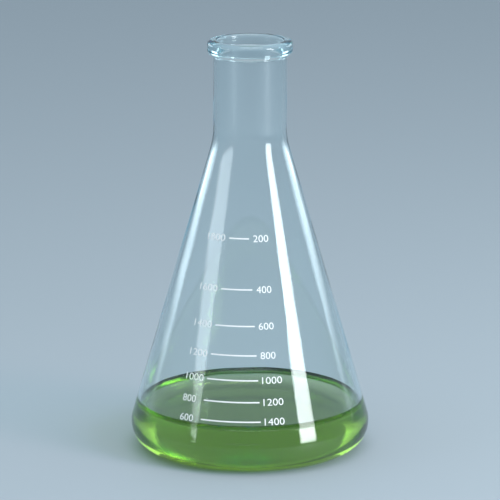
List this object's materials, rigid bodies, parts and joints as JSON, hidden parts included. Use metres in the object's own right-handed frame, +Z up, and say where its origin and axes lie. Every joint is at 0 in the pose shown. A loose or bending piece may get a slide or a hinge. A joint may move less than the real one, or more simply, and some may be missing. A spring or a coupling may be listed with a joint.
{
  "type": "erlenmeyer flask",
  "caption": "Two-litre narrow-mouth conical flask of clear glass with a beaded rim, a white enamel volume scale and green culture medium in the bottom.",
  "frame": {"origin": "centre of the base, on the surface that the flask stands on", "axes": "+Z up along the flask's axis; the enamel scale faces -Y; +X is to the right of someone reading the scale"},
  "size_m": [0.1618, 0.1618, 0.28],
  "materials": {
    "clear_glass": "clear borosilicate, fire-polished",
    "green_medium": "clear yellow-green liquid",
    "white_enamel": "fired white enamel, slightly matte"
  },
  "bodies": {
    "root": {"glass_body": "clear_glass", "culture_medium": "green_medium", "graduation_line_0600": "white_enamel", "graduation_line_0800": "white_enamel", "graduation_line_1000": "white_enamel", "graduation_line_1200": "white_enamel", "graduation_line_1400": "white_enamel", "graduation_line_1600": "white_enamel", "graduation_line_1800": "white_enamel", "volume_numeral_0600": "white_enamel", "volume_numeral_0800": "white_enamel", "volume_numeral_1000": "white_enamel", "volume_numeral_1200": "white_enamel", "volume_numeral_1400": "white_enamel", "volume_numeral_1600": "white_enamel", "volume_numeral_1800": "white_enamel", "headspace_numeral_0200": "white_enamel", "headspace_numeral_0400": "white_enamel", "headspace_numeral_0600": "white_enamel", "headspace_numeral_0800": "white_enamel", "headspace_numeral_1000": "white_enamel", "headspace_numeral_1200": "white_enamel", "headspace_numeral_1400": "white_enamel"}
  },
  "joints": []
}
